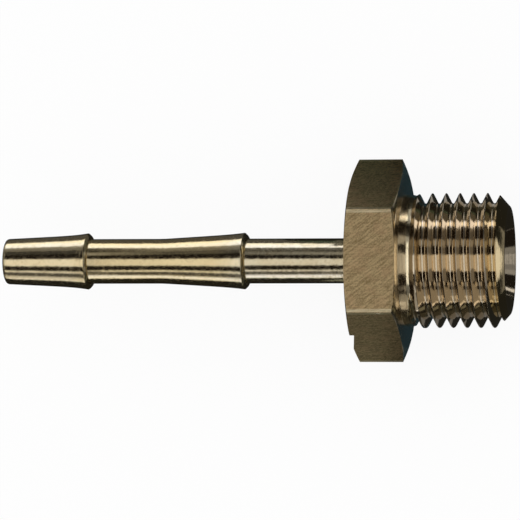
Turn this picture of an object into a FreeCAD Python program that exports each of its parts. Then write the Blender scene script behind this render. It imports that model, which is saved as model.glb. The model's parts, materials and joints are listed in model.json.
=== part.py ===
import FreeCAD, Part
import os
import Sketcher
import math

# Brass hose barb tail: a push-on hose tail with two barbs, a hexagon for the spanner and a
# male pipe thread, turned from one length of hexagon bar.
# Millimetres. X is the turning axis, with the thread on the +X side. The origin is on that axis,
# in the hexagon's shoulder face, which the thread screws up to. Two flats of the hexagon lie across Z.

document = FreeCAD.newDocument("hose_barb_tail")

# Driving sizes
sheet = document.addObject("Spreadsheet::Sheet", "Sizes")
SIZES = [
    ("across_flats", 17.0, "hexagon bar, across its flats"),
    ("hexagon_width", 4.9, "hexagon left between the tail and the thread"),
    ("hexagon_chamfer_angle", 14.0, "turned chamfer on both hexagon faces, from the face"),
    ("tail_length", 35.0, "tail from the hexagon to its tip"),
    ("tip_diameter", 4.44, "tail at the tip"),
    ("tip_round", 0.3, "rounding of the tip's outer edge"),
    ("stem_diameter", 4.38, "plain stem behind each barb"),
    ("barb_diameter", 5.53, "sharp crest of each barb"),
    ("barb_spacing", 15.6, "crest to crest"),
    ("barb_to_hexagon", 10.95, "inner crest to the hexagon"),
    ("barb_length", 8.1, "flared front of the inner barb"),
    ("barb_back", 0.34, "steep back of each barb, along the axis"),
    ("barb_flare_radius", 110.0, "hollow curve of each barb's front"),
    ("stub_length", 10.1, "threaded stub from the shoulder to its rim"),
    ("neck_diameter", 12.7, "plain neck behind the thread"),
    ("neck_length", 0.75, "neck from the shoulder to the thread"),
    ("neck_corner", 0.2, "slope that the tool leaves between neck and shoulder"),
    ("thread_diameter", 13.0, "over the thread's crests"),
    ("thread_pitch", 1.337, "crest to crest, 19 to the inch"),
    ("thread_angle", 55.0, "between the thread's flanks"),
    ("thread_depth", 0.78, "crest to root"),
    ("thread_root_flat", 0.2, "flat at the root, as wide as the thread tool's nose"),
    ("thread_first_root", 1.85, "first root of full depth, from the shoulder"),
    ("runout_climb", 0.9, "how far the thread tool backs out in the run-out's one turn"),
    ("end_chamfer", 1.15, "chamfer at the stub's end, along the axis"),
    ("rim_diameter", 10.4, "outside of the stub's thin rim"),
    ("seat_mouth_diameter", 10.0, "cone seat at the rim"),
    ("seat_angle", 60.0, "included angle of the cone seat"),
    ("bore_diameter", 3.0, "bore right through"),
    ("tool_clearance", 1.0, "how far the cutting outlines reach past the metal"),
    ("thread_tool_clearance", 0.12, "the same for the thread tool, over the crest"),
    ("dent_depth", 0.35, "dent in the hexagon's tail-side rim, along the axis"),
    ("dent_from_corner", 2.52, "start of the dent, up from the hexagon's lower corner"),
    ("dent_length", 1.35, "dent from there towards the corner"),
    ("dent_side", 2.3, "side of the dent, from the corner's own plane towards the upper flat"),
]
row = 1
for alias, number, meaning in SIZES:
    sheet.set(f"A{row}", meaning)
    sheet.set(f"B{row}", str(number))
    sheet.setAlias(f"B{row}", alias)
    row += 1
document.recompute()


class Size:
    """A length or an angle, kept as the sheet's formula and as the number that a sketch starts from."""

    def __init__(self, formula, number):
        self.formula = formula
        self.number = number

    def joined(self, sign, other, number):
        formula = other.formula if isinstance(other, Size) else str(other)
        return Size(f"({self.formula} {sign} {formula})", number)

    def __add__(self, other):
        return self.joined("+", other, self.number + plain(other))

    def __sub__(self, other):
        return self.joined("-", other, self.number - plain(other))

    def __mul__(self, other):
        return self.joined("*", other, self.number * plain(other))

    def __truediv__(self, other):
        return self.joined("/", other, self.number / plain(other))

    def __neg__(self):
        return Size(f"(0 - {self.formula})", -self.number)


def plain(other):
    return other.number if isinstance(other, Size) else other


def size(alias):
    return Size(f"Sizes.{alias}", float(sheet.get(alias)))


def tangent(angle):
    return Size(f"tan({angle.formula})", math.tan(math.radians(angle.number)))


def new_sketch(body, name, role):
    """A sketch on one of the body's own origin planes."""
    plane = [f for f in body.Origin.OriginFeatures if f.Role == role][0]
    sketch = body.newObject("Sketcher::SketchObject", name)
    sketch.AttachmentSupport = [(plane, "")]
    sketch.MapMode = "FlatFace"
    return sketch


def bind(sketch, kind, geometry, end, value):
    """One dimension of a sketch, tied to its formula."""
    index = sketch.addConstraint(Sketcher.Constraint(kind, geometry, end, value.number))
    sketch.setExpression(f"Constraints[{index}]", value.formula)


def arc_between(start, end, radius, side):
    """The shorter arc from start to end, with its centre on the left (1) or the right (-1) of the way."""
    chord = end - start
    across = FreeCAD.Vector(-chord.y, chord.x, 0) / chord.Length
    centre = (start + end) / 2 + across * side * math.sqrt(radius**2 - (chord.Length / 2) ** 2)
    circle = Part.Circle(centre, FreeCAD.Vector(0, 0, 1), radius)
    first, last = (start, end) if side > 0 else (end, start)
    return Part.ArcOfCircle(circle, circle.parameter(first), circle.parameter(last))


def draw_outline(sketch, corners, arcs):
    """A closed outline through corners of (x, y). arcs holds, under the number of the corner it starts
    from, an arc's radius and the side of its centre."""
    places = [FreeCAD.Vector(x.number, y.number, 0) for x, y in corners]
    ends = []
    for i, start in enumerate(places):
        end = places[(i + 1) % len(places)]
        if i in arcs:
            radius, side = arcs[i]
            sketch.addGeometry(arc_between(start, end, radius.number, side), False)
            ends.append((1, 2) if side > 0 else (2, 1))
        else:
            sketch.addGeometry(Part.LineSegment(start, end), False)
            ends.append((1, 2))
    for i in range(len(corners)):
        after = (i + 1) % len(corners)
        sketch.addConstraint(Sketcher.Constraint("Coincident", i, ends[i][1], after, ends[after][0]))
    for i, (x, y) in enumerate(corners):
        before = corners[i - 1]
        straight = (i - 1) % len(corners) not in arcs
        if straight and x.formula == before[0].formula:
            sketch.addConstraint(Sketcher.Constraint("Vertical", (i - 1) % len(corners)))
        else:
            bind(sketch, "DistanceX", i, ends[i][0], x)
        if straight and y.formula == before[1].formula:
            sketch.addConstraint(Sketcher.Constraint("Horizontal", (i - 1) % len(corners)))
        else:
            bind(sketch, "DistanceY", i, ends[i][0], y)
    for i, (radius, side) in arcs.items():
        index = sketch.addConstraint(Sketcher.Constraint("Radius", i, radius.number))
        sketch.setExpression(f"Constraints[{index}]", radius.formula)


def turned_away(body, name, corners, arcs):
    """What the turning tool takes off: an outline beside the axis, cut all the way round it."""
    sketch = new_sketch(body, name + "_outline", "XY_Plane")
    draw_outline(sketch, corners, arcs)
    groove = body.newObject("PartDesign::Groove", name)
    groove.Profile = sketch
    groove.ReferenceAxis = (sketch, ["H_Axis"])
    groove.Angle = 360
    document.recompute()
    return groove


# Sizes that follow from the driving ones
zero = Size("0", 0.0)
corner_radius = Size("(Sizes.across_flats / sqrt(3))", sheet.across_flats / math.sqrt(3))
face_radius = size("across_flats") / 2
tool_radius = corner_radius + size("tool_clearance")
chamfer_run = (tool_radius - face_radius) * tangent(size("hexagon_chamfer_angle"))
shoulder = zero
back = -size("hexagon_width")
tip = back - size("tail_length")
inner_crest = back - size("barb_to_hexagon")
outer_crest = inner_crest - size("barb_spacing")
tip_radius = size("tip_diameter") / 2
stem_radius = size("stem_diameter") / 2
barb_radius = size("barb_diameter") / 2
neck_radius = size("neck_diameter") / 2
thread_radius = size("thread_diameter") / 2
rim_radius = size("rim_diameter") / 2
mouth_radius = size("seat_mouth_diameter") / 2
bore_radius = size("bore_diameter") / 2
end = size("stub_length")

body = document.addObject("PartDesign::Body", "hose_barb_tail")
body.Label = "hose_barb_tail"

# Hexagon bar, cut to the whole length
bar_section = new_sketch(body, "bar_section", "YZ_Plane")
places = []
for i in range(6):
    turn = math.radians(60 * i)
    places.append(FreeCAD.Vector(math.cos(turn), math.sin(turn), 0) * corner_radius.number)
for i in range(6):
    bar_section.addGeometry(Part.LineSegment(places[i], places[(i + 1) % 6]), False)
through_corners = Part.Circle(FreeCAD.Vector(0, 0, 0), FreeCAD.Vector(0, 0, 1), corner_radius.number)
bar_section.addGeometry(through_corners, True)
bar_section.addConstraint(Sketcher.Constraint("Coincident", 6, 3, -1, 1))
for i in range(6):
    bar_section.addConstraint(Sketcher.Constraint("Coincident", i, 2, (i + 1) % 6, 1))
    bar_section.addConstraint(Sketcher.Constraint("PointOnObject", i, 1, 6))
for i in range(5):
    bar_section.addConstraint(Sketcher.Constraint("Equal", i, i + 1))
bar_section.addConstraint(Sketcher.Constraint("PointOnObject", 0, 1, -1))
corner_circle = bar_section.addConstraint(Sketcher.Constraint("Radius", 6, corner_radius.number))
bar_section.setExpression(f"Constraints[{corner_circle}]", corner_radius.formula)
bar = body.newObject("PartDesign::Pad", "bar")
bar.Profile = bar_section
bar.SideType = "Two sides"
bar.setExpression("Length", end.formula)
bar.setExpression("Length2", (-tip).formula)
document.recompute()

# Tail, with its rounded tip, its two barbs and the hexagon's chamfered back face
turned_away(
    body,
    "tail",
    [
        (tip, tip_radius - size("tip_round")),
        (tip + size("tip_round"), tip_radius),
        (outer_crest, barb_radius),
        (outer_crest + size("barb_back"), stem_radius),
        (inner_crest - size("barb_length"), stem_radius),
        (inner_crest, barb_radius),
        (inner_crest + size("barb_back"), stem_radius),
        (back, stem_radius),
        (back, face_radius),
        (back + chamfer_run, tool_radius),
        (tip, tool_radius),
    ],
    {
        0: (size("tip_round"), -1),
        1: (size("barb_flare_radius"), 1),
        4: (size("barb_flare_radius"), 1),
    },
)

# Blank for the thread: shoulder, neck, full diameter, end chamfer and rim
turned_away(
    body,
    "stub",
    [
        (shoulder, neck_radius + size("neck_corner")),
        (shoulder + size("neck_corner"), neck_radius),
        (size("neck_length"), neck_radius),
        (size("neck_length") + thread_radius - neck_radius, thread_radius),
        (end - size("end_chamfer"), thread_radius),
        (end, rim_radius),
        (end, tool_radius),
        (-chamfer_run, tool_radius),
        (shoulder, face_radius),
    ],
    {},
)

# Bore, and the cone at the rim that a mating cone seals on
turned_away(
    body,
    "bore",
    [
        (tip, zero),
        (end, zero),
        (end, mouth_radius),
        (end - (mouth_radius - bore_radius) / tangent(size("seat_angle") / 2), bore_radius),
        (tip, bore_radius),
    ],
    {},
)
blank_volume = body.Shape.Volume

# Thread groove: its section at the first full root, which lies towards +Y. The groove is cut from there
# out through the end chamfer, and backwards for one turn while it climbs out of the neck.
half_angle = size("thread_angle") / 2
root = size("thread_first_root")
section_foot = thread_radius - size("thread_depth")
section_top = thread_radius + size("thread_tool_clearance")
half_foot = size("thread_root_flat") / 2
half_top = half_foot + (section_top - section_foot) * tangent(half_angle)
thread_section = new_sketch(body, "thread_section", "XY_Plane")
draw_outline(
    thread_section,
    [
        (root - half_top, section_top),
        (root - half_foot, section_foot),
        (root + half_foot, section_foot),
        (root + half_top, section_top),
    ],
    {},
)
turning_axis = [f for f in body.Origin.OriginFeatures if f.Role == "X_Axis"][0]

thread = body.newObject("PartDesign::SubtractiveHelix", "thread")
thread.Profile = thread_section
thread.ReferenceAxis = (turning_axis, [""])
thread.Mode = "pitch-height-angle"
thread.setExpression("Pitch", size("thread_pitch").formula)
thread.setExpression("Height", (end - root + size("thread_pitch")).formula)
document.recompute()
threaded_volume = body.Shape.Volume

runout = body.newObject("PartDesign::SubtractiveHelix", "runout")
runout.Profile = thread_section
runout.ReferenceAxis = (turning_axis, [""])
runout.Mode = "pitch-height-angle"
runout.Reversed = True
runout.setExpression("Pitch", "Sizes.thread_pitch")
runout.setExpression("Height", "Sizes.thread_pitch")
runout.setExpression("Angle", "atan(Sizes.runout_climb / Sizes.thread_pitch)")
document.recompute()
runout_volume = body.Shape.Volume

# Dent in the rim between the hexagon's tail-side face and its lower upward flat
dent_outline = new_sketch(body, "dent_outline", "XY_Plane")
dent_outline.setExpression("AttachmentOffset.Base.z", "Sizes.dent_side")
dent_top = size("dent_from_corner") - corner_radius
dent_foot = dent_top - size("dent_length")
draw_outline(
    dent_outline,
    [
        (back - size("tool_clearance"), dent_foot),
        (back + size("dent_depth"), dent_foot),
        (back + size("dent_depth"), dent_top),
        (back - size("tool_clearance"), dent_top),
    ],
    {},
)
dent = body.newObject("PartDesign::Pocket", "dent")
dent.Profile = dent_outline
dent.Reversed = True
dent.setExpression("Length", "Sizes.across_flats")
body.Tip = dent
document.recompute()

volumes = [blank_volume, threaded_volume, runout_volume, body.Shape.Volume]
if any(later >= earlier for earlier, later in zip(volumes, volumes[1:])):
    raise RuntimeError(f"a cut took nothing off: {volumes}")
for item in document.Objects:
    if "Invalid" in item.State or "Error" in item.State:
        raise RuntimeError(f"{item.Name} failed: {item.State}")
if body.Shape.isNull() or not body.Shape.isValid() or len(body.Shape.Solids) != 1:
    raise RuntimeError("the body is not one valid solid")

os.makedirs("parts", exist_ok=True)
body.Shape.exportStep("parts/hose_barb_tail.step")
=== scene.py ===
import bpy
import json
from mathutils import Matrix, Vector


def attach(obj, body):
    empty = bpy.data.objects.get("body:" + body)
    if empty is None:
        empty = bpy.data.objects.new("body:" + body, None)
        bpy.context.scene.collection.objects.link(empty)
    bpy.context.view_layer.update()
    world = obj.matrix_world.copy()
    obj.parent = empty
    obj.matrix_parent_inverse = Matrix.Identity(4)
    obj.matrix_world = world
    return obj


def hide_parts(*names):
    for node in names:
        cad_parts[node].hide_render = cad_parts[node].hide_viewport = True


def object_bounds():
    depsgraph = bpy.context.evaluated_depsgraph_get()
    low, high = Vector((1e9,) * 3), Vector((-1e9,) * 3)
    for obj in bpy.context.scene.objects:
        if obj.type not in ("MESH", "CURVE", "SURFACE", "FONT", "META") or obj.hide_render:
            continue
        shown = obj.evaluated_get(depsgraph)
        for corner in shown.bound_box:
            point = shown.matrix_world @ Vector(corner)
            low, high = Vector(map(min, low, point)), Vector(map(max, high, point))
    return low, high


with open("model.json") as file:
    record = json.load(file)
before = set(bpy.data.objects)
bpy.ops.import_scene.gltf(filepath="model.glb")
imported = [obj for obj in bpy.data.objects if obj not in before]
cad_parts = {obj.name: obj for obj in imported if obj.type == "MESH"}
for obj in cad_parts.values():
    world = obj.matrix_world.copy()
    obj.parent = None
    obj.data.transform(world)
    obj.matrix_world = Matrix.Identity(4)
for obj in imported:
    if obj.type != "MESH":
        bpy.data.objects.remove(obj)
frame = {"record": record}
solid_box = [list(corner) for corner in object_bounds()]

# %% [markdown]
# # A hose barb tail in turned brass
# The real object is one piece of brass, 50 mm long. A lathe turns it from hexagon bar: a tail with two
# barbs that grips a hose, a hexagon for the spanner, and a pipe thread with a cone seat at its end.
# This script makes the same piece again with finer edges than the plain solid has, then gives it its
# metal, its light and its camera. The shape is worked in millimetres and brought to metres at the end,
# because small numbers with many zeros are hard to read and easy to get wrong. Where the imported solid
# already knows a size, it is read from there, so the two can't drift apart.

# %% The sizes that several steps share
import json
import math

import bmesh
import bpy
from mathutils import Matrix, Vector

MM = 1000  # millimetres in a metre
solid_mm = [[round(v * MM, 2) for v in corner] for corner in solid_box]
spanner = next(m for m in frame["record"]["mounts"] if m["name"] == "spanner_hexagon")

END = solid_mm[1][0]  # the threaded end
FACE_RADIUS = solid_mm[1][2]  # from the axis to a flat of the hexagon
BACK = round(2 * spanner["pos_m"][0] * MM, 2)  # the hexagon's face towards the tail; the other is at 0
BORE_RADIUS = 1.5
THREAD_RADIUS = 6.5
NECK_RADIUS = 6.35
STEPS = 256  # how many copies one full turn of the lathe makes
print("the solid's box in mm:", solid_mm, "hexagon from", BACK, "to 0, across flats", 2 * FACE_RADIUS)

# %% [markdown]
# ## The outline of the tail
# On the lathe every section is round, so one outline beside the axis holds the whole form. It could be
# stacked from cylinders and cones, but one outline that is spun once gives one closed skin. Each corner
# is written as its place along the axis, its distance from the axis and how much it is rounded.
#
# A barb is a slow flare that ends in a sharp step. The hose slides up the flare and can't slip back over
# the step. The cutting tool leaves the flare a little hollow, so it rises faster near its crest, and it
# turns the step's edge into a small lip that hangs over the stem.

# %% Draw the tail
TIP = BACK - 34.8
TIP_RADIUS = 2.22
STEM_RADIUS = 2.19
BARB_RADIUS = 2.765
INNER_CREST = BACK - 10.95
OUTER_CREST = INNER_CREST - 15.6
INNER_START = INNER_CREST - 8.1
FLARE_PIECES = 28


def flare(start, end, lip):
    """Corners from start to end: an even taper that curls up by its lip just before the crest."""
    points = []
    for i in range(1, FLARE_PIECES):
        share = i / FLARE_PIECES
        rise = (1 - lip) * share + lip * share**7
        points.append((start[0] + (end[0] - start[0]) * share, start[1] + (end[1] - start[1]) * rise, 0))
    return points


def barb_back(crest):
    """The steep side of a barb, with its rounded lip."""
    return [(crest, BARB_RADIUS, 0.05), (crest + 0.31, 2.45, 0.10), (crest + 0.13, STEM_RADIUS, 0.03)]


corners = [(TIP, BORE_RADIUS, 0.06), (TIP, TIP_RADIUS, 0.3)]
corners += flare((TIP, TIP_RADIUS), (OUTER_CREST, BARB_RADIUS), lip=0.28)
corners += barb_back(OUTER_CREST)
corners += [(INNER_START, STEM_RADIUS, 0.5)]
corners += flare((INNER_START, STEM_RADIUS), (INNER_CREST, BARB_RADIUS), lip=0.16)[2:]
corners += barb_back(INNER_CREST)
print("tail: corners", len(corners), "length", round(BACK - TIP, 1), "mm")

# %% [markdown]
# ## The outline of the hexagon, the neck and the end
# The bar is thicker than the finished hexagon here, because the flats are cut later. Both of its faces
# are turned to a shallow cone, 14 degrees off flat, which takes the burrs off the hexagon's corners.
# Beside the shoulder lies the neck, where the thread tool runs out. A fine facet on it, some 14 degrees
# off the axis, catches a bright line. The thread's end has a chamfer that helps it into its port, a thin
# rim and a 60 degree cone that seats on the mating part.

# %% Draw the rest
CHAMFER_SLOPE = math.tan(math.radians(14))
OVER = 2.3  # how far the blank stands over the flats
RIM_RADIUS = 5.2
MOUTH_RADIUS = 5.0
SEAT_HALF_ANGLE = math.radians(30)

blank_radius = FACE_RADIUS + OVER
chamfer_run = OVER * CHAMFER_SLOPE
seat_depth = (MOUTH_RADIUS - BORE_RADIUS) / math.tan(SEAT_HALF_ANGLE)
hexagon = [
    (BACK, STEM_RADIUS, 0.12),
    (BACK, FACE_RADIUS, 0.1),
    (BACK + chamfer_run, blank_radius, 0),
    (-chamfer_run, blank_radius, 0),
    (0, FACE_RADIUS, 0.1),
]
neck = [
    (0, NECK_RADIUS + 0.045, 0.03),
    (0.07, NECK_RADIUS + 0.0398, 0),
    (0.60, NECK_RADIUS, 0.02),
    (0.79, NECK_RADIUS, 0.01),
    (1.00, NECK_RADIUS - 0.0507, 0),
    (1.08, NECK_RADIUS - 0.07, 0.02),
]
threaded_end = [
    (1.50, THREAD_RADIUS + 0.03, 0),
    (END - 1.18, THREAD_RADIUS + 0.03, 0.05),
    (END, RIM_RADIUS, 0.05),
    (END, MOUTH_RADIUS, 0.04),
    (END - seat_depth, BORE_RADIUS, 0.1),
]
corners += hexagon + neck + threaded_end
print("corners in all:", len(corners), "cone seat's depth", round(seat_depth, 2), "mm")

# %% [markdown]
# ## Rounding the corners
# Turned edges are never quite sharp, and the small radius of each is what catches the light. Edges could
# be bevelled after the spin, but that means thousands of them. While the outline is still a loop of
# points, a vertex bevel rounds each corner in one go. Corners that share a radius are done together.

# %% Join the corners to a loop and round them
WIDE_ROUND = 0.2  # a rounding above this gets more pieces


def closed_outline(corners):
    """A closed loop of edges in the XY plane, from corners of (x, radius from the axis, rounding)."""
    bm = bmesh.new()
    rounding = bm.verts.layers.float.new("rounding")
    for x, y, size in corners:
        bm.verts.new((x, y, 0))[rounding] = size
    bm.verts.ensure_lookup_table()
    for i in range(len(bm.verts)):
        bm.edges.new((bm.verts[i - 1], bm.verts[i]))
    for size in sorted({c[2] for c in corners if c[2]}):
        chosen = [v for v in bm.verts if abs(v[rounding] - size) < 1e-6 and len(v.link_edges) == 2]
        made = bmesh.ops.bevel(
            bm, geom=chosen, offset=size, affect="VERTICES", segments=6 if size > WIDE_ROUND else 3,
            profile=0.5, material=-1, clamp_overlap=True,
        )
        for v in made["verts"]:
            v[rounding] = 0
    return bm


outline = closed_outline(corners)
print("outline points:", len(outline.verts))

# %% [markdown]
# ## Spinning the blank
# The spin turns the outline once round the axis, as the lathe does. With use_merge the last copy joins
# the first, so no seam is left open. The same helper winds the thread later, where each step also moves
# along the axis, so there the last copy must not be joined to the first. The direction of a spin decides
# which way its faces look, so the normals are worked out anew once the doubles are gone.

# %% Spin the outline
def spun(bm, shift=0.0, merge=True):
    """One full turn of everything in the mesh, moving along the axis by shift at each step."""
    bmesh.ops.spin(
        bm, geom=bm.verts[:] + bm.edges[:], cent=(0, 0, 0), axis=(1, 0, 0), dvec=(shift, 0, 0),
        angle=2 * math.pi, steps=STEPS, use_merge=merge, use_duplicate=False,
    )
    bmesh.ops.remove_doubles(bm, verts=bm.verts[:], dist=1e-4)
    bmesh.ops.recalc_face_normals(bm, faces=bm.faces[:])
    return bm


def open_edges(bm):
    """Edges that don't have a face on each side. A closed skin has none."""
    return sum(len(e.link_faces) != 2 for e in bm.edges)


blank = spun(outline)
print("blank:", len(blank.faces), "faces, open edges", open_edges(blank))

# %% [markdown]
# ## The hexagon
# The bar's flats were there before the turning, and the lathe's chamfer runs over their corners in
# shallow curves. Those curves could be drawn, but cutting the round blank with six planes gives them by
# itself, because each plane meets the chamfer's cone in the true curve. The hole that a cut leaves is
# closed with one flat face.

# %% Cut the six flats
flat_normals = []
for i in range(6):
    turn = math.radians(60 * i)
    normal = Vector((0, math.sin(turn), math.cos(turn)))
    flat_normals.append(normal)
    cut = bmesh.ops.bisect_plane(
        blank, geom=blank.verts[:] + blank.edges[:] + blank.faces[:], dist=1e-5,
        plane_co=normal * FACE_RADIUS, plane_no=normal, clear_outer=True,
    )
    rim = [e for e in cut["geom_cut"] if isinstance(e, bmesh.types.BMEdge)]
    bmesh.ops.holes_fill(blank, edges=rim, sides=0)
bmesh.ops.recalc_face_normals(blank, faces=blank.faces[:])
print("after the flats: open edges", open_edges(blank))

# %% [markdown]
# ## Soft edges on the hexagon
# Drawn bar has slightly rounded corners, and the turned chamfer leaves an edge that hand and spanner
# dull. A Bevel modifier with an angle limit would also take the thread's edges, so the bevel is put on
# just the edges of the six flats. Each then shows its thin line of light.

# %% Bevel the hexagon's edges
EDGE_SOFTNESS = 0.07


def lies_on_flat(normal, middle, likeness, margin):
    """Whether a face looks the way one of the flats does and lies in its plane."""
    return any(normal.dot(n) > likeness and n.dot(middle) > FACE_RADIUS - margin for n in flat_normals)


flats = [f for f in blank.faces if lies_on_flat(f.normal, f.calc_center_median(), 0.9999, 0.01)]
flat_edges = list({e for f in flats for e in f.edges})
print("flats:", len(flats), "edges round them:", len(flat_edges))
bmesh.ops.bevel(
    blank, geom=flat_edges, offset=EDGE_SOFTNESS, affect="EDGES", segments=2, profile=0.5, material=-1,
    clamp_overlap=True,
)
print("bevelled, open edges", open_edges(blank))

# %% [markdown]
# ## One row of the thread's form
# A die cuts a real thread: a hard ring with the thread's form inside it. The same is done here, because
# a thread that is modelled turn by turn never meets the neck and the chamfer as cleanly as a cut does.
# The form is a zigzag of roots and crests with 55 degrees between its flanks. Both are rounded, as on
# every pipe thread of this kind: the root widely, and the crest only a little.

# %% Draw the row
PITCH = 1.337
FIRST_ROOT = 1.93
HALF_ANGLE = math.radians(27.5)
CREST_ROUND = 0.06
ROOT_ROUND = 0.23
ROWS = range(-3, 9)  # turns that start before the shoulder and end past the rim, so the cut is whole


def thread_row():
    """An open zigzag of edges, root after root, with every corner rounded."""
    cut_off = 1 / math.sin(HALF_ANGLE) - 1  # what one millimetre of radius takes off a sharp corner
    sharp_depth = PITCH / 2 / math.tan(HALF_ANGLE)
    top = THREAD_RADIUS + CREST_ROUND * cut_off
    bm = bmesh.new()
    roots = [bm.verts.new((FIRST_ROOT + n * PITCH, top - sharp_depth, 0)) for n in ROWS]
    crests = [bm.verts.new((root.co.x + PITCH / 2, top, 0)) for root in roots]
    for n in range(len(roots)):
        bm.edges.new((roots[n], crests[n]))
        if n:
            bm.edges.new((crests[n - 1], roots[n]))
    for chosen, radius, pieces in ((roots[1:], ROOT_ROUND, 8), (crests[:-1], CREST_ROUND, 4)):
        bmesh.ops.bevel(
            bm, geom=chosen, offset=radius / math.tan(HALF_ANGLE), affect="VERTICES", segments=pieces,
            profile=0.5, material=-1, clamp_overlap=True,
        )
    print("depth of the groove", round(sharp_depth - (CREST_ROUND + ROOT_ROUND) * cut_off, 3), "mm")
    return bm


die = thread_row()
print("thread row points:", len(die.verts))

# %% [markdown]
# ## Winding the row into a screw
# The row turns once round the axis and moves along by one pitch, so the end of each turn lies exactly on
# the start of the next. Removing doubles joins them, and the whole screw surface is one sheet.

# %% Wind it
spun(die, shift=PITCH / STEPS, merge=False)
reach = [round(pick(v.co.x for v in die.verts), 2) for pick in (min, max)]
print("die surface: faces", len(die.faces), "from x", reach[0], "to", reach[1])

# %% [markdown]
# ## The run-out
# A tool can't stop dead in the metal. Close to the shoulder it backs out over one turn, so the groove
# gets shallow and fades into the neck. Here every point that lies before the first root of full depth is
# moved away from the axis, slowly at first and then fast. How many turns it lies before that root is
# read from its angle and its place along the axis.

# %% Let the first turn climb out of the metal
SLOW_CLIMB = 0.55
FAST_CLIMB = 6.0
FAST_AFTER = 0.60

climbed = 0
for vert in die.verts:
    turn = (math.atan2(vert.co.z, vert.co.y) / (2 * math.pi)) % 1.0
    along = (vert.co.x - FIRST_ROOT - PITCH * turn) / PITCH
    before = -(turn + round(along))  # turns before the first root of full depth
    if before > 0:
        lift = SLOW_CLIMB * before + FAST_CLIMB * max(0.0, before - FAST_AFTER)
        vert.co += Vector((0, vert.co.y, vert.co.z)).normalized() * lift
        climbed += 1
print("points that climb:", climbed)

# %% [markdown]
# ## Closing the die
# A cut needs a tool with an inside and an outside. Both ends of the screw surface are trimmed square,
# their rims are drawn outwards to a wide ring, and the two rings are bridged. That leaves a thick
# tube with the thread inside it.

# %% Close the screw surface to a thick ring
DIE_RADIUS = 9.0
DIE_START = 0.3
DIE_END = END + 1.0

for place, side in ((DIE_START, -1), (DIE_END, 1)):
    bmesh.ops.bisect_plane(
        die, geom=die.verts[:] + die.edges[:] + die.faces[:], dist=1e-5,
        plane_co=(place, 0, 0), plane_no=(side, 0, 0), clear_outer=True,
    )
    rim = [e for e in die.edges if len(e.link_faces) == 1 and abs(e.verts[0].co.x - place) < 1e-3]
    wall = bmesh.ops.extrude_edge_only(die, edges=rim)
    for vert in (v for v in wall["geom"] if isinstance(v, bmesh.types.BMVert)):
        outward = Vector((vert.co.y, vert.co.z)).normalized() * DIE_RADIUS
        vert.co = Vector((vert.co.x, *outward))
bmesh.ops.bridge_loops(die, edges=[e for e in die.edges if len(e.link_faces) == 1])
bmesh.ops.remove_doubles(die, verts=die.verts[:], dist=1e-5)
bmesh.ops.recalc_face_normals(die, faces=die.faces[:])
print("die: faces", len(die.faces), "open edges", open_edges(die))

# %% [markdown]
# ## Cutting the thread
# The die is taken away from the blank with a Boolean modifier. The exact solver is slower than the fast
# one, but it keeps its head where many faces touch, as they do along a thread. The result is stored as
# the mesh itself, so nothing stays live that a later step would have to carry.

# %% Cut with the die
def as_object(bm, name):
    """The mesh as an object of the scene, at the origin."""
    mesh = bpy.data.meshes.new(name)
    bm.to_mesh(mesh)
    made = bpy.data.objects.new(name, mesh)
    bpy.context.scene.collection.objects.link(made)
    return made


def cut_with(piece, tool):
    """The piece with the tool's form taken away. The tool is dropped."""
    step = piece.modifiers.new("cut", "BOOLEAN")
    step.operation = "DIFFERENCE"
    step.solver = "EXACT"
    step.object = tool
    bpy.context.view_layer.update()
    result = bpy.data.meshes.new_from_object(piece.evaluated_get(bpy.context.evaluated_depsgraph_get()))
    piece.modifiers.remove(step)
    piece.data = result
    bpy.data.objects.remove(tool)
    print("cut: faces", len(result.polygons))


tail = as_object(blank, "brass_hose_tail")
cut_with(tail, as_object(die, "die"))
check = bmesh.new()
check.from_mesh(tail.data)
print("threaded: open edges", open_edges(check))
check.free()

# %% [markdown]
# ## The step in the rim
# A drop has broken a small step out of the hexagon, at the corner of its face towards the tail. A box
# takes it away, as the thread was cut with its die. Its inner side leans a little, because broken metal
# doesn't leave a square corner, and its edges are rounded so that the notch has a soft bottom.

# %% Cut the step
STEP_DEPTH = 0.45
STEP_FROM_AXIS = 7.15
STEP_LOW = 0.4  # its lower end stands this far over the axis
STEP_LEAN = 0.5
TOOL_SIZE = Vector((1.0, 1.75, 8.0))

step_tool = bmesh.new()
bmesh.ops.create_cube(step_tool, size=1.0)
bmesh.ops.scale(step_tool, verts=step_tool.verts[:], vec=TOOL_SIZE)
outer_side = [v for v in step_tool.verts if v.co.y < 0]
bmesh.ops.translate(step_tool, verts=outer_side, vec=(-STEP_LEAN, 0, 0))
bmesh.ops.bevel(
    step_tool, geom=step_tool.edges[:], offset=0.05, affect="EDGES", segments=2, profile=0.5, material=-1,
    clamp_overlap=True,
)
inner_corner = Vector((BACK + STEP_DEPTH, -STEP_FROM_AXIS, STEP_LOW))
from_corner = Vector((-TOOL_SIZE.x, -TOOL_SIZE.y, TOOL_SIZE.z)) / 2
bmesh.ops.translate(step_tool, verts=step_tool.verts[:], vec=inner_corner + from_corner)
cut_with(tail, as_object(step_tool, "notch_cutter"))

# %% [markdown]
# ## Two scuffs
# Something hard has knocked the edge between two flats. Each scuff is the dent of a small box with
# rounded edges that is pressed in at a slant. They lie only where the photograph shows them.

# %% Press in the scuffs
def scuff_tool(size, place, rounding, slant):
    """A box with rounded edges, turned about the axis of the piece by its slant."""
    bm = bmesh.new()
    bmesh.ops.create_cube(bm, size=1.0)
    bmesh.ops.scale(bm, verts=bm.verts[:], vec=size)
    bmesh.ops.bevel(
        bm, geom=bm.edges[:], offset=rounding, affect="EDGES", segments=3, profile=0.5, material=-1,
        clamp_overlap=True,
    )
    bmesh.ops.rotate(
        bm, verts=bm.verts[:], cent=(0, 0, 0), matrix=Matrix.Rotation(math.radians(slant), 3, "X")
    )
    bmesh.ops.translate(bm, verts=bm.verts[:], vec=place)
    return as_object(bm, "dent_cutter")


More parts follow.
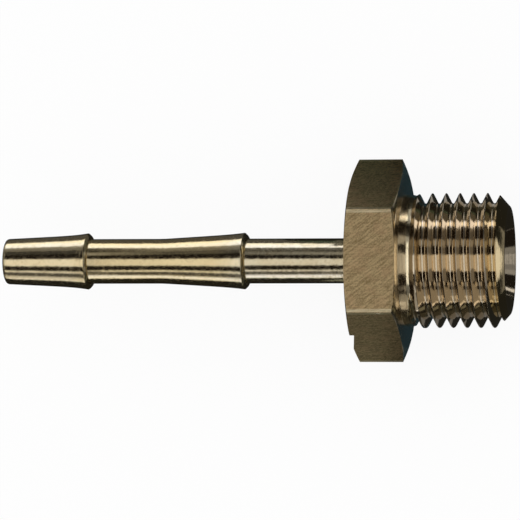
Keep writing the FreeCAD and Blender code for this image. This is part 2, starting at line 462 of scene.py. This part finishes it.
edge_y = -FACE_RADIUS * math.tan(math.radians(30))  # the edge between the top flat and the next
SCUFFS = (
    ((0.5, 0.6, 0.5), (-1.55, edge_y - 0.33, FACE_RADIUS - 0.10), 0.12, 32),
    ((0.16, 0.5, 0.3), (-2.0, edge_y - 0.55, FACE_RADIUS - 0.35), 0.06, 58),
)
for scuff in SCUFFS:
    cut_with(tail, scuff_tool(*scuff))
print("triangles:", sum(len(p.vertices) - 2 for p in tail.data.polygons))

# %% [markdown]
# ## Which faces keep the bar's skin
# The flats keep the dull skin of the drawn bar, and everything else is turned bright. A mask could be
# painted, but each face already tells its finish by where it lies and which way it looks.

# %% Find the drawn faces
drawn = {p.index for p in tail.data.polygons if lies_on_flat(p.normal, p.center, 0.9995, 0.02)}
for polygon in tail.data.polygons:
    polygon.use_smooth = polygon.index not in drawn
print("faces of drawn bar:", len(drawn), "of", len(tail.data.polygons))

# %% [markdown]
# ## Even shading, and the hand-over
# Round faces are shaded smoothly and real edges stay sharp. Where a long cone meets a small rounding,
# plain smooth shading bends the light far into the cone. Weighted normals let the large faces win, so
# a flank shades as flat as it is. Then the piece is brought to metres and takes the plain solid's place.

# %% Shade it, scale it and name its body
tail.data.set_sharp_from_angle(angle=math.radians(32))
tail.data.transform(Matrix.Scale(1 / MM, 4))
even = tail.modifiers.new("even_shading", "WEIGHTED_NORMAL")
even.keep_sharp = True
even.weight = 100
even.thresh = 1e-9
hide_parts("hose_barb_tail")
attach(tail, "root")
print("length:", round(tail.dimensions.x * MM, 2), "mm")

# %% [markdown]
# ## Writing shader maths as plain expressions
# Every mark on the metal is a small sum. Wiring each Math node by hand hides the sum behind a dozen
# lines. A little class that holds one socket lets it be written in Python's own signs, and each sign
# adds the node that it needs.

# %% A wire that maths can be written on
class Wire:
    """One output of a node. Each sign that is used on it adds a Math node."""

    def __init__(self, socket):
        self.socket = socket

    @classmethod
    def node(cls, tree, kind, settings=(), values=(), output=0):
        """Any node. Its settings are set first, then its sockets get numbers or wires."""
        made = tree.nodes.new(kind)
        for name, value in dict(settings).items():
            setattr(made, name, value)
        for key, value in dict(values).items():
            if isinstance(value, Wire):
                value.feed(made.inputs[key])
            else:
                made.inputs[key].default_value = value
        return cls(made.outputs[output])

    def feed(self, target):
        """Lead this wire into a socket."""
        self.socket.id_data.links.new(self.socket, target)

    def maths(self, operation, *parts):
        """A Math node on wires and numbers, in the order given."""
        return Wire.node(self.socket.id_data, "ShaderNodeMath", {"operation": operation}, enumerate(parts))

    def __add__(self, other):
        return self.maths("ADD", self, other)

    def __sub__(self, other):
        return self.maths("SUBTRACT", self, other)

    def __rsub__(self, other):
        return self.maths("SUBTRACT", other, self)

    def __mul__(self, other):
        return self.maths("MULTIPLY", self, other)

    def __pow__(self, other):
        return self.maths("POWER", self, other)

    __radd__ = __add__
    __rmul__ = __mul__

    def ramp(self, low, high):
        """0 below low, 1 above high, and a soft rise between."""
        return Wire.node(
            self.socket.id_data, "ShaderNodeMapRange", {"interpolation_type": "SMOOTHSTEP"},
            {"Value": self, "From Min": low, "From Max": high},
        )

    def between(self, start, first, last, stop):
        """A band: it rises from start to first and falls again from last to stop."""
        return self.ramp(start, first) * (1 - self.ramp(last, stop))


print("signs that a wire knows: + - * **")

# %% [markdown]
# ## Patterns that stay on the piece
# Noise is drawn on Object coordinates, so it sits still on the metal from every side. A Mapping node
# turns metres into counts of bumps a millimetre. Stretching them makes lines: many bumps across and few
# along give the scratches that a tool leaves.

# %% Helpers for a metal
def in_mm(tree, stretch=(1, 1, 1), turn=(0, 0, 0)):
    """The place on the piece in millimetres, stretched along each axis."""
    place = Wire.node(tree, "ShaderNodeTexCoord", output="Object")
    return Wire.node(
        tree, "ShaderNodeMapping", {"vector_type": "TEXTURE"},
        {"Vector": place, "Scale": [1 / MM / s for s in stretch], "Rotation": turn},
    )


def axes(tree):
    """Along the axis, and the distance from it, both in millimetres."""
    vector = in_mm(tree)
    x, y, z = (
        Wire.node(tree, "ShaderNodeSeparateXYZ", {}, {"Vector": vector}, output=axis) for axis in "XYZ"
    )
    return x, (y * y + z * z) ** 0.5


def grain(tree, bumps, detail=3.0, rough=0.55, turn=(0, 0, 0)):
    """Noise with so many bumps a millimetre along each axis."""
    return Wire.node(
        tree, "ShaderNodeTexNoise", {"noise_dimensions": "3D"},
        {"Vector": in_mm(tree, bumps, turn), "Scale": 1.0, "Detail": detail, "Roughness": rough},
    )


def blend(share, first, second):
    """The first colour where the share is 0, the second where it is 1."""
    first, second = (c if isinstance(c, Wire) else (*c, 1) for c in (first, second))
    return Wire.node(
        share.socket.id_data, "ShaderNodeMix", {"data_type": "RGBA"},
        {"Factor": share, "A": first, "B": second}, output="Result",
    )


def new_metal(name):
    """A material that is all metal, with its tree and its shader."""
    made = bpy.data.materials.new(name)
    made.use_nodes = True
    principled = made.node_tree.nodes["Principled BSDF"]
    principled.inputs["Metallic"].default_value = 1.0
    return made, made.node_tree, principled


def finish(principled, colour, rough, height):
    """Lead the colour, the roughness and the height of the marks, in mm, to the shader."""
    bump = Wire.node(
        principled.id_data, "ShaderNodeBump", {}, {"Strength": 1.0, "Distance": 1 / MM, "Height": height}
    )
    for key, wire in (("Base Color", colour), ("Roughness", rough), ("Normal", bump)):
        wire.feed(principled.inputs[key])


print("helpers: in_mm, axes, grain, blend, new_metal, finish")

# %% [markdown]
# ## Turned brass, its colour
# Turned brass is pale gold, and handling and air tint it unevenly. The part of the tail between the two
# barbs has a warmer, more golden film than the rest. The neck, the thread and the end each have their own
# tint, and a fine mottling of brown specks lies over all. The shoulder's ring gets a dark brown, which is
# painted shade: it dims the ring's reflection of the bright neck. Each tint is a band between places along
# the axis, in millimetres, which is easier to move than a painted mask.

# %% Tint the turned brass
PALE_BRASS = (0.79, 0.665, 0.43)
LIGHT_BRASS = (0.83, 0.72, 0.49)
GOLDEN_FILM = (0.85, 0.67, 0.35)
THREAD_BRASS = (0.81, 0.685, 0.505)
END_BRASS = (0.82, 0.66, 0.39)
NECK_BRASS = (0.80, 0.63, 0.38)
BROWN_SPECK = (0.60, 0.40, 0.19)
# Painted shade: a dark brown for the shoulder's ring, which dims its reflection of the bright neck.
PAINTED_SHOULDER_SHADE = (0.52, 0.40, 0.26)

turned, tree, shader = new_metal("turned_brass")
place, from_axis = axes(tree)
marks = grain(tree, (9.0, 0.25, 0.25), detail=4.0)
mottle = grain(tree, (3.6, 3.6, 3.6), detail=5.0)
cloud = grain(tree, (0.35, 0.5, 0.5), detail=2.0)

golden = (place.ramp(-34, -29) * 0.6 + 0.4) * (1 - place.ramp(-19, -15.4)) * 0.75
threaded = place.ramp(0.9, 1.3)
end = place.ramp(8.8, 9.1) * from_axis.ramp(5.0, 5.15)
on_neck = place.between(0.0, 0.05, 0.70, 0.80)
shoulder = place.between(-0.05, -0.01, 0.02, 0.06) * from_axis.between(6.45, 6.5, 8.35, 8.42)

colour = blend(cloud.ramp(0.35, 0.65), PALE_BRASS, LIGHT_BRASS)
for share, tint in (
    (golden, GOLDEN_FILM),
    (threaded, THREAD_BRASS),
    (end, END_BRASS),
    (on_neck, NECK_BRASS),
    (mottle.ramp(0.58, 0.78) * 0.4, BROWN_SPECK),
    # the shoulder's ring: painted shade
    (shoulder * 0.7, PAINTED_SHOULDER_SHADE),
):
    colour = blend(share, colour, tint)
print("turned brass: nodes for its colour", len(tree.nodes))

# %% [markdown]
# ## Turned brass, its surface
# The tool leaves fine rings across the axis, and mottled spots are a little duller than clean metal. The
# heights are a few thousandths of a millimetre: they only soften the reflections. The thread is the
# smoothest part, because the die burnishes it.

# %% Give it its gloss and its tool marks
rough = 0.11 + shoulder * 0.03 - threaded * 0.04 + mottle.ramp(0.35, 0.75) * 0.12 * (1 - threaded * 0.8)
height = marks * (0.0030 + on_neck * 0.003) + mottle * (1 - threaded * 0.6) * 0.008
finish(shader, colour, rough, height)
print("turned brass: nodes", len(tree.nodes))

# %% [markdown]
# ## Drawn bar
# The flats never met the lathe. Drawing left them with fine lines along the bar, the stock's pits, and
# slanting scratches from later handling. Three kinds of grain are summed to one tone, which drives the
# colour, the roughness and the height together, so a dark pit is also a dull and deep one. The corners
# between two flats are rubbed bright.

# %% Give the flats their skin
DARK_SKIN = (0.29, 0.202, 0.096)
LIGHT_SKIN = (0.63, 0.468, 0.248)
RED_PATCH = (0.62, 0.40, 0.22)
RUBBED_EDGE = (0.86, 0.74, 0.48)

drawn_bar, tree, shader = new_metal("drawn_bar_brass")
place, from_axis = axes(tree)
lines = grain(tree, (0.6, 8.0, 8.0), detail=4.0)
pits = grain(tree, (7.5, 7.5, 7.5), detail=4.0, rough=0.7)
slant = grain(tree, (0.8, 5.5, 5.5), detail=3.0, turn=(0, 0, math.radians(37)))
patches = grain(tree, (0.6, 0.8, 0.8), detail=2.0)
tone = lines * 0.20 + pits * 0.42 + slant * 0.38
worn = from_axis.between(9.62, 9.68, 9.78, 9.80) * (0.35 + lines.ramp(0.4, 0.6) * 0.5)

colour = blend(tone.ramp(0.40, 0.60), DARK_SKIN, LIGHT_SKIN)
colour = blend(patches.ramp(0.45, 0.7) * 0.35, colour, RED_PATCH)
colour = blend(worn, colour, RUBBED_EDGE)
finish(shader, colour, 0.29 + tone.ramp(0.35, 0.65) * 0.08, tone * 0.024)

tail.data.materials.clear()
for metal in (turned, drawn_bar):
    tail.data.materials.append(metal)
for polygon in tail.data.polygons:
    polygon.material_index = int(polygon.index in drawn)
print("metals on the piece:", [m.name for m in tail.data.materials])

# %% [markdown]
# ## The camera
# A long lens far off looks almost straight down, a little from the threaded end, so the cone seat just
# shows. The lens is written in pixels of the 520 pixel picture and turned into millimetres.

# %% Set the camera
PICTURE = 520
LENS_PIXELS = 3794.7
LEAN = math.radians(9.97)
ROLL = math.radians(-0.145)
DISTANCE = 0.3697
AIM = Vector((-0.01438, 0.0001, 0))

toward = Vector((math.sin(LEAN), 0, math.cos(LEAN)))
right = Vector((math.cos(LEAN), 0, -math.sin(LEAN)))
facing = Matrix((right, toward.cross(right), toward)).transposed() @ Matrix.Rotation(ROLL, 3, "Z")
camera = bpy.data.objects.new("camera", bpy.data.cameras.new("camera"))
camera.data.sensor_width = 36
camera.data.lens = LENS_PIXELS / PICTURE * camera.data.sensor_width
camera.data.clip_start = 0.01
camera.location = AIM + toward * DISTANCE
camera.rotation_mode = "QUATERNION"
camera.rotation_quaternion = facing.to_quaternion()
bpy.context.scene.collection.objects.link(camera)
bpy.context.scene.camera = camera
print("lens:", round(camera.data.lens, 1), "mm, height", round(camera.location.z, 3), "m")

# %% [markdown]
# ## White paper and plain light
# The piece lies on white paper under an even white sky at strength 1, so a colour renders about as it is
# written. The paper must look white itself, and brighter lamps would burn out the metal. So wherever the
# camera or a reflection looks at it, most of it is a plain white glow, and the rest is diffuse paper that
# takes the soft shadow.

# %% Lay the paper and light it
FLOOR = -FACE_RADIUS / MM
WHITE = (1, 1, 1)
GLOW_SHARE = 0.9

bpy.context.scene.view_settings.view_transform = "Standard"
world = bpy.data.worlds.new("studio")
bpy.context.scene.world = world
world.use_nodes = True
world.cycles.sampling_method = "NONE"
world.node_tree.nodes["Background"].inputs["Color"].default_value = (*WHITE, 1)


def bare_material(name):
    """A material with nothing but an output, and the socket for its surface."""
    made = bpy.data.materials.new(name)
    made.use_nodes = True
    made.node_tree.nodes.clear()
    return made, made.node_tree, made.node_tree.nodes.new("ShaderNodeOutputMaterial").inputs["Surface"]


def glow(tree, colour, strength=1.0):
    return Wire.node(tree, "ShaderNodeEmission", {}, {"Color": (*colour, 1), "Strength": strength})


paper, tree, surface = bare_material("white_paper")
by_eye, by_gloss, through = (
    Wire.node(tree, "ShaderNodeLightPath", output=kind)
    for kind in ("Is Camera Ray", "Is Glossy Ray", "Is Transmission Ray")
)
seen = by_eye.maths("MAXIMUM", by_eye.maths("MAXIMUM", by_eye, by_gloss), through)
dull = Wire.node(tree, "ShaderNodeBsdfDiffuse", {}, {"Color": (0.9, 0.9, 0.9, 1)})
Wire.node(
    tree, "ShaderNodeMixShader", {}, {0: seen * GLOW_SHARE, 1: dull, 2: glow(tree, WHITE)}
).feed(surface)

floor_mesh = bmesh.new()
bmesh.ops.create_grid(floor_mesh, x_segments=1, y_segments=1, size=1.5)
bmesh.ops.translate(floor_mesh, verts=floor_mesh.verts[:], vec=(0, 0, FLOOR))
floor = as_object(floor_mesh, "floor")
floor.data.materials.append(paper)
print("paper at z", FLOOR)

# %% [markdown]
# ## Cards for the reflections
# Bright metal has hardly a colour of its own: it shows what stands round it. In a plain white room it
# looks like plaster. A photographer of metal therefore builds a small tent of black, grey and white
# card. The same is done here, with cards that glow by their own plain strength. Only reflections see
# them: they throw no light on the paper and no shadow, and the camera doesn't see them.
#
# A curved card is a short line that is spun part of the way round the piece. Its angles are in degrees
# off the upright, and plus is towards +Y. Places and sizes of the cards are in metres.

# %% Helpers for the cards
CARD_DISTANCE = 0.2
DEGREES_A_PIECE = 3
BLACK = (0.012, 0.010, 0.008)


def stage_card(bm, name, colour, strength):
    """A card that only the metal's reflections see."""
    made_of, tree, surface = bare_material(name + "_finish")
    glow(tree, colour, strength).feed(surface)
    made_of.cycles.emission_sampling = "NONE"
    made = as_object(bm, name)
    made.data.materials.append(made_of)
    made.visible_camera = False
    made.visible_diffuse = False
    made.visible_shadow = False
    return made


def arch(name, start, stop, strength, reach, colour=WHITE, distance=CARD_DISTANCE):
    """A curved card over the piece between two angles, and between two places along the axis."""
    bm = bmesh.new()
    first = math.radians(start)
    low, high = (bm.verts.new((x, distance * math.sin(first), distance * math.cos(first))) for x in reach)
    bm.edges.new((low, high))
    bmesh.ops.spin(
        bm, geom=bm.verts[:] + bm.edges[:], cent=(0, 0, 0), axis=(-1, 0, 0), dvec=(0, 0, 0),
        angle=math.radians(stop - start), steps=max(2, int((stop - start) / DEGREES_A_PIECE)),
        use_merge=False, use_duplicate=False,
    )
    return stage_card(bm, name, colour, strength)


TENT_REACH = (-0.402, 0.302)
arch("dark_tent", -92.6, 92.6, 1, TENT_REACH, BLACK, distance=0.203)
print("tent along the axis, in metres:", TENT_REACH)

# %% [markdown]
# ## The cards over the tail
# A leaning camera sees each part of the piece reflect another stretch of the tent. The tail reflects the
# stretch beyond its own tip. A white strip low on each side draws the two bright lines along the tail, a
# window overhead gives the pale band in its middle, and greys between them model the roundness. The
# outer barb, the inner barb and the stem each have a stretch of their own, because in the photograph
# their bands differ. The white strips are a little cool, as daylight is, and so keep the gold of the
# brass from turning their reflections yellow.

# %% Hang the cards over the tail
TENT_LOW, TIP_SIDE, BARB_SPLIT, STEM_SPLIT, STEM_MIDDLE = -0.40, -0.15, -0.088, -0.054, -0.0465
TAIL_HIGH = -0.0331
COOL = {
    "strip_upper": (0.94, 1.0, 1.22),
    "strip_lower": (0.95, 1.03, 1.28),
    "strip_lower_stem": (0.98, 1.02, 1.26),
}


def hang(cards):
    """Curved cards from a table of stretches, each with rows of name, start, stop and strength."""
    for reach, rows in cards.items():
        for name, start, stop, strength in rows:
            arch(name, start, stop, strength, reach, COOL.get(name, WHITE))
    print("cards hung:", sum(len(rows) for rows in cards.values()))


hang({
    (TIP_SIDE, TAIL_HIGH): (
        ("strip_upper", 72, 92.3, 1.35),
        ("light_card", -55, -45.5, 0.75),
        ("dim_lower", -74, -55, 0.08),
    ),
    (TIP_SIDE, STEM_SPLIT): (
        ("dim_upper_barbs", 64, 72, 0.27),
        ("dim_upper_barbs_inner", 50, 64, 0.18),
        ("strip_lower_inner", -80, -74, 0.50),
    ),
    (TIP_SIDE, BARB_SPLIT): (
        ("grey_outer_barb", 34, 48, 0.04),
        ("window_outer_barb", -22.2, 10.8, 0.92),
        ("strip_lower_barb", -92.3, -80, 0.68),
    ),
    (BARB_SPLIT, TAIL_HIGH): (
        ("window", -22.2, 10.8, 0.80),
        ("strip_lower", -92.3, -80, 1.10),
    ),
    (BARB_SPLIT, STEM_SPLIT): (("grey_inner_barb", 34, 48, 0.11),),
    (STEM_SPLIT, TAIL_HIGH): (
        ("grey_stem", 32, 50, 0.20),
        ("strip_lower_stem", -80, -73, 0.90),
    ),
    (STEM_MIDDLE, TAIL_HIGH): (("dim_upper_stem", 54, 72, 0.15),),
    (TENT_LOW, TIP_SIDE): (
        ("soft_tip_side", -20, 12, 0.52),
        ("soft_tip_side_dim", 12, 30, 0.15),
        ("soft_tip_side_upper", 30, 46, 0.30),
        ("soft_tip_side_lower", -50, -20, 0.20),
        ("soft_tip_side_edge", 46, 76, 0.10),
    ),
})

# %% [markdown]
# ## The cards over the thread
# The flats of the hexagon and the roots and crests of the thread look straight up, at the stretch just
# before the shoulder. The flanks that face the end look past it, each a little further, so the same
# strips go on beyond the shoulder at lower strengths. Dark gaps between the cards give the rows of dark
# spots that run along the thread.

# %% Hang the cards over the thread and beyond its end
SHOULDER, NEAR_SIDE, FAR_SIDE, TENT_HIGH = 0.0, 0.03, 0.10, 0.30

hang({
    (TAIL_HIGH, SHOULDER): (
        ("strip_upper_thread", 74, 84, 1.5),
        ("strip_upper_thread_edge", 84, 92.3, 0.40),
        ("grey_thread", 30, 44, 0.36),
        ("window_thread", -22, 12, 0.56),
        ("light_card_thread", -52, -44, 0.20),
        ("dim_lower_thread", -76, -60, 0.30),
        ("strip_lower_thread", -92.3, -76, 0.80),
    ),
    (SHOULDER, NEAR_SIDE): (
        ("strip_upper_side", 74, 84, 1.1),
        ("grey_side", 28, 44, 0.38),
        ("window_side", -22, 14, 0.32),
        ("strip_lower_side", -84, -74, 0.60),
        ("dim_lower_side", -74, -60, 0.20),
    ),
    (NEAR_SIDE, FAR_SIDE): (
        ("strip_upper_beyond", 76, 92.3, 0.40),
        ("dim_upper_beyond", 68, 76, 0.20),
        ("grey_beyond", 30, 43, 0.36),
        ("window_beyond", -22, 13, 0.34),
        ("dim_lower_beyond", -68, -40, 0.15),
        ("strip_lower_beyond", -76, -68, 0.30),
        ("strip_lower_beyond_edge", -92.3, -76, 0.85),
    ),
    (FAR_SIDE, TENT_HIGH): (
        ("soft_end_side", -20, 12, 0.38),
        ("soft_end_side_dim", 12, 30, 0.20),
        ("soft_end_side_upper", 30, 44, 0.28),
        ("soft_end_side_lower", -42, -20, 0.20),
        ("soft_end_side_edge", 84, 92.3, 0.70),
    ),
})
arch("neck_light", -42, 31, 1.3, (0.052, 0.090), distance=0.198)

# %% [markdown]
# ## Cards on the paper
# The lower half of every round part reflects the paper beside it. Under and round the piece that paper
# lies in the piece's own shade, and lit white paper there would wash out the metal's edges. So dark cards
# paint that shade, as painted shade that only reflections see. Lighter cards on them, each for one part,
# bring back a soft light where the photograph has one. Cards that cover each other lie at their own small
# heights.

# %% Lay the cards on the paper
# Colours of the painted shade: the paper under and round the piece, in the piece's own shade, as the
# reflections see it.
PAINTED_SHADE = (0.016, 0.016, 0.014)
BLUE_PAINTED_SHADE = (0.016, 0.031, 0.039)
THREAD_PAINTED_SHADE = (0.05, 0.05, 0.04)


def floor_card(name, colour, strength, low, high, lift=0.0001):
    """A flat card on the paper between two corners."""
    bm = bmesh.new()
    bmesh.ops.create_grid(bm, x_segments=1, y_segments=1, size=0.5)
    bmesh.ops.scale(bm, verts=bm.verts[:], vec=(high[0] - low[0], high[1] - low[1], 1))
    middle = ((low[0] + high[0]) / 2, (low[1] + high[1]) / 2, FLOOR + lift)
    bmesh.ops.translate(bm, verts=bm.verts[:], vec=middle)
    return stage_card(bm, name, colour, strength)


# The dark cards, and the white ones at a low strength, paint the shade of the paper under the piece. The
# brighter white ones paint the lit paper, as the reflections see it.
FLOOR_CARDS = (
    ("painted_shade", PAINTED_SHADE, 1, (-0.30, -0.20), (0.12, 0.20), 0.00005),
    ("painted_shade_tail", WHITE, 0.08, (-0.30, 0.008), (-0.014, 0.042)),
    ("painted_shade_hexagon_upper", (0.055, 0.078, 0.063), 1, (-0.014, 0.016), (-0.004, 0.042)),
    ("painted_shade_hexagon_lower", (0.20, 0.215, 0.19), 1, (-0.0105, -0.050), (-0.004, -0.014)),
    ("painted_shade_thread_upper", THREAD_PAINTED_SHADE, 1, (0.003, 0.0135), (0.012, 0.030)),
    ("painted_shade_thread_lower", THREAD_PAINTED_SHADE, 1, (-0.001, -0.045), (0.012, -0.0135)),
    ("floor_by_thread_upper", WHITE, 0.28, (0.0045, 0.0088), (0.0115, 0.0135)),
    ("floor_by_thread_lower", WHITE, 0.15, (0.003, -0.0175), (0.0115, -0.0095), 0.00015),
    ("lit_floor_thread", WHITE, 0.45, (0.0075, 0.055), (0.040, 0.20)),
    ("lit_floor_beyond", WHITE, 0.50, (0.013, 0.018), (0.025, 0.055)),
    ("painted_shade_shoulder", BLUE_PAINTED_SHADE, 1, (-0.003, -0.0125), (0.003, 0.0125)),
    ("lit_floor_upper", WHITE, 1.35, (-0.30, 0.042), (-0.018, 0.20)),
    ("lit_floor_lower", WHITE, 1.05, (-0.30, -0.20), (-0.016, -0.070)),
    ("grey_floor_end", WHITE, 0.20, (0.115, -0.20), (0.30, 0.20)),
    ("grey_floor_axis", WHITE, 0.20, (0.04, -0.020), (0.115, 0.020)),
    ("lit_floor_end", WHITE, 0.80, (0.12, -0.058), (0.30, 0.058), 0.0002),
)
for row in FLOOR_CARDS:
    floor_card(*row)
print("cards on the paper:", len(FLOOR_CARDS))

# %% [markdown]
# ## Upright cards
# The chamfer and the cone seat look along the axis, at the ends of the tent. A dark card closes each end,
# and lighter ones before it give the chamfer its pale patch and the cone its grey bands. Two fins that
# stand beside the hexagon keep the tail's bright strips out of the thread's flanks.

# %% Stand the upright cards
CARD_FOOT = -0.0083
FIN_PLACE = -0.0085


def end_card(name, strength, place, low, high, colour=WHITE):
    """An upright card across the axis, between two corners given across and up."""
    bm = bmesh.new()
    bmesh.ops.create_grid(bm, x_segments=1, y_segments=1, size=0.5)
    bmesh.ops.rotate(bm, verts=bm.verts[:], cent=(0, 0, 0), matrix=Matrix.Rotation(math.radians(90), 3, "Y"))
    bmesh.ops.scale(bm, verts=bm.verts[:], vec=(1, high[0] - low[0], high[1] - low[1]))
    bmesh.ops.translate(bm, verts=bm.verts[:], vec=(place, (low[0] + high[0]) / 2, (low[1] + high[1]) / 2))
    return stage_card(bm, name, colour, strength)


END_CARDS = (
    ("shade_thread_end", 0.06, 0.301, (-0.25, CARD_FOOT), (0.25, 0.25)),
    ("light_thread_end", 0.80, 0.295, (-0.05, CARD_FOOT), (0.05, 0.09)),
    ("light_thread_end_side", 0.42, 0.297, (-0.13, CARD_FOOT), (0.13, 0.07)),
    ("light_thread_end_top", 0.15, 0.297, (-0.07, 0.14), (0.07, 0.21)),
    ("shade_tip_end", 1.0, -0.401, (-0.25, CARD_FOOT), (0.25, 0.25), BLACK),
    ("light_tip_end", 0.25, -0.395, (-0.10, 0.08), (0.10, 0.24)),
    ("fin", 1.0, FIN_PLACE, (0.011, CARD_FOOT), (0.20, 0.0035), (0.10, 0.10, 0.09)),
    ("fin_lower", 1.0, FIN_PLACE, (-0.20, 0.0005), (-0.018, 0.03), (0.31, 0.30, 0.28)),
)
for row in END_CARDS:
    end_card(*row)
print("upright cards:", len(END_CARDS))
